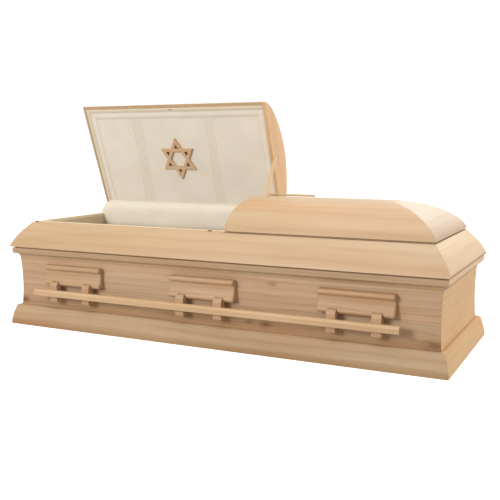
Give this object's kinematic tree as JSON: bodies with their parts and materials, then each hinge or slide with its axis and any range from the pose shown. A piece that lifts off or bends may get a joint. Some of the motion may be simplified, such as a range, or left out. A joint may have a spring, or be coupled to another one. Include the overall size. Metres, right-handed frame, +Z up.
{
  "type": "wooden coffin",
  "caption": "Half-couch wooden coffin with a moulded base, coved sides, crown rim, hipped lid propped open at the head, cream lining, star of David and swinging bar handles.",
  "frame": {"origin": "centre of the base's underside, on the floor", "axes": "+X from the head end to the foot end, -Y the front, +Z up"},
  "size_m": [2.109, 0.8086, 1.0483],
  "materials": {
    "body_wood": "satin",
    "lid_wood": "satin",
    "handle_wood": "satin",
    "star_wood": "matte",
    "lining_cloth": "matte",
    "hinge_steel": "satin"
  },
  "bodies": {
    "casket_body": {"base_moulding_front": "body_wood", "base_moulding_back": "body_wood", "base_moulding_head": "body_wood", "base_moulding_foot": "body_wood", "body_panel_front": "body_wood", "body_panel_back": "body_wood", "body_panel_head": "body_wood", "body_panel_foot": "body_wood", "band_moulding_front": "body_wood", "band_moulding_back": "body_wood", "band_moulding_head": "body_wood", "band_moulding_foot": "body_wood", "rim_moulding_front": "lid_wood", "rim_moulding_back": "lid_wood", "rim_moulding_head": "lid_wood", "rim_moulding_foot": "lid_wood", "rim_ledge_front": "lid_wood", "rim_ledge_back": "lid_wood", "rim_ledge_head": "lid_wood", "rim_ledge_foot": "lid_wood", "body_lining_front": "lining_cloth", "body_lining_back": "lining_cloth", "body_lining_head": "lining_cloth", "body_lining_foot": "lining_cloth", "bottom_board": "body_wood", "floor_lining": "lining_cloth", "overthrow_roll": "lining_cloth", "foot_lid_top": "lid_wood", "foot_lid_hip": "lid_wood", "foot_lid_header": "lid_wood", "lid_hinge_1": "hinge_steel", "lid_hinge_2": "hinge_steel", "prop_stick": "lid_wood", "crest_strip": "lid_wood", "front_handle_plate_1": "handle_wood", "front_handle_plate_2": "handle_wood", "front_handle_plate_3": "handle_wood", "back_handle_plate_1": "handle_wood", "back_handle_plate_2": "handle_wood", "back_handle_plate_3": "handle_wood"},
    "head_lid": {"head_lid_top": "lid_wood", "head_lid_hip": "lid_wood", "head_lid_end_board": "lid_wood", "head_lid_lining": "lining_cloth", "star": "star_wood"},
    "front_handle": {"front_handle_arm_1": "handle_wood", "front_handle_arm_2": "handle_wood", "front_handle_arm_3": "handle_wood", "front_handle_arm_4": "handle_wood", "front_handle_arm_5": "handle_wood", "front_handle_arm_6": "handle_wood", "front_handle_bar": "handle_wood"},
    "back_handle": {"back_handle_arm_1": "handle_wood", "back_handle_arm_2": "handle_wood", "back_handle_arm_3": "handle_wood", "back_handle_arm_4": "handle_wood", "back_handle_arm_5": "handle_wood", "back_handle_arm_6": "handle_wood", "back_handle_bar": "handle_wood"}
  },
  "joints": [
    {"name": "head_lid_hinge", "type": "hinge", "parent": "casket_body", "child": "head_lid", "pos_m": [0, 0.298, 0.4915], "axis": [1, 0, 0], "range_deg": [0, 71]},
    {"name": "front_handle_swing", "type": "hinge", "parent": "casket_body", "child": "front_handle", "pos_m": [0, -0.361, 0.204], "axis": [-1, 0, 0], "range_deg": [0, 80]},
    {"name": "back_handle_swing", "type": "hinge", "parent": "casket_body", "child": "back_handle", "pos_m": [0, 0.361, 0.204], "axis": [1, 0, 0], "range_deg": [0, 80]}
  ]
}
